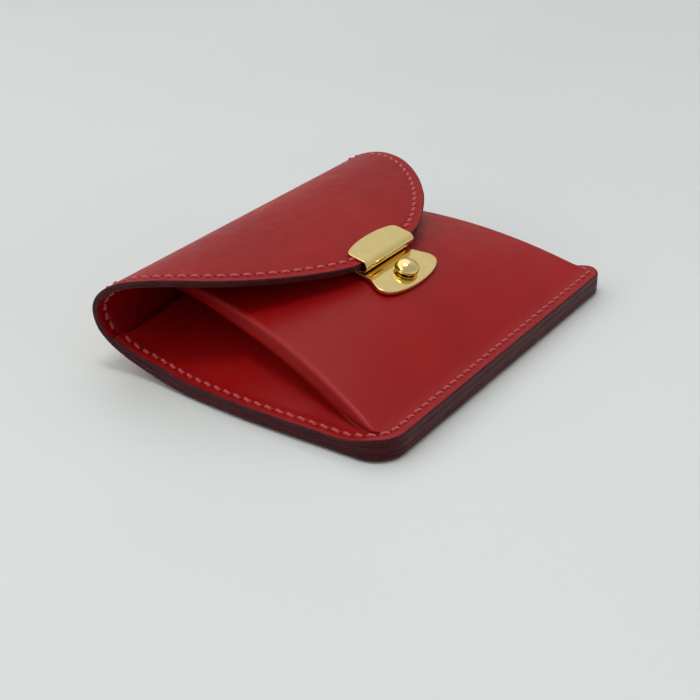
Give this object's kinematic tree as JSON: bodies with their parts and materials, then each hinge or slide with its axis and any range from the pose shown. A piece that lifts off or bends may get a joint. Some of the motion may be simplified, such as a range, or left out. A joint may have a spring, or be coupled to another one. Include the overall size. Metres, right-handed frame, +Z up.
{
  "type": "card holder",
  "caption": "Flap-over leather card holder with a gusseted front pocket, an inner slip pocket and a brass clasp with a sliding knob.",
  "frame": {"origin": "middle of the rectangle that the closed holder covers, on the surface it lies on", "axes": "+X across the holder, +Y from the bottom seam to the fold, +Z up from the back to the flap"},
  "size_m": [0.1058, 0.082, 0.0267],
  "materials": {
    "outer_leather": "smooth polished bridle leather with dark burnished edges",
    "lining_leather": "smooth satin lining leather",
    "thread": "waxed linen thread, a little lighter than the leather",
    "polished_brass": "mirror polished",
    "steel": "brushed"
  },
  "bodies": {
    "case": {"back_panel": "outer_leather", "back_lining": "lining_leather", "slip_pocket": "lining_leather", "front_pocket": "outer_leather", "side_thread_left": "thread", "side_thread_right": "thread", "bottom_thread": "thread", "lock_plate": "polished_brass", "lock_backing_plate": "steel", "lock_case": "steel", "lock_rivet_left": "polished_brass", "lock_rivet_right": "polished_brass", "return_spring_left": "steel", "return_spring_right": "steel"},
    "fold_lower": {"fold_lower_panel": "outer_leather", "fold_lower_lining": "lining_leather", "fold_lower_thread_left": "thread", "fold_lower_thread_right": "thread"},
    "fold_upper": {"fold_upper_panel": "outer_leather", "fold_upper_lining": "lining_leather", "fold_upper_thread_left": "thread", "fold_upper_thread_right": "thread"},
    "flap": {"flap_panel": "outer_leather", "flap_lining": "lining_leather", "flap_thread_left": "thread", "flap_thread_right": "thread", "clip_cover": "polished_brass", "catch_plate": "polished_brass", "clip_rivet_left": "polished_brass", "clip_rivet_right": "polished_brass"},
    "latch": {"knob": "polished_brass", "knob_collar": "polished_brass", "slide_bolt": "steel"}
  },
  "joints": [
    {"name": "fold_bend_lower", "type": "hinge", "parent": "case", "child": "fold_lower", "pos_m": [0, 0.03589, 0.00479], "axis": [-1, 0, 0], "range_deg": [0, 50]},
    {"name": "fold_bend_middle", "type": "hinge", "parent": "fold_lower", "child": "fold_upper", "pos_m": [0, 0.041, 0.0149], "axis": [-1, 0, 0], "range_deg": [0, 50]},
    {"name": "fold_bend_upper", "type": "hinge", "parent": "fold_upper", "child": "flap", "pos_m": [0, 0.03791, 0.02053], "axis": [-1, 0, 0], "range_deg": [0, 50]},
    {"name": "latch_slide", "type": "slide", "parent": "case", "child": "latch", "axis": [0, -0.9739, -0.227], "range_m": [0, 0.0015], "stiffness_N_per_m": 400, "springref_m": -0.001, "deforming": ["return_spring_left", "return_spring_right"]}
  ],
  "couplings": [
    {"joint": "fold_bend_middle", "follows": "fold_bend_lower", "ratio": 1},
    {"joint": "fold_bend_upper", "follows": "fold_bend_lower", "ratio": 1}
  ]
}
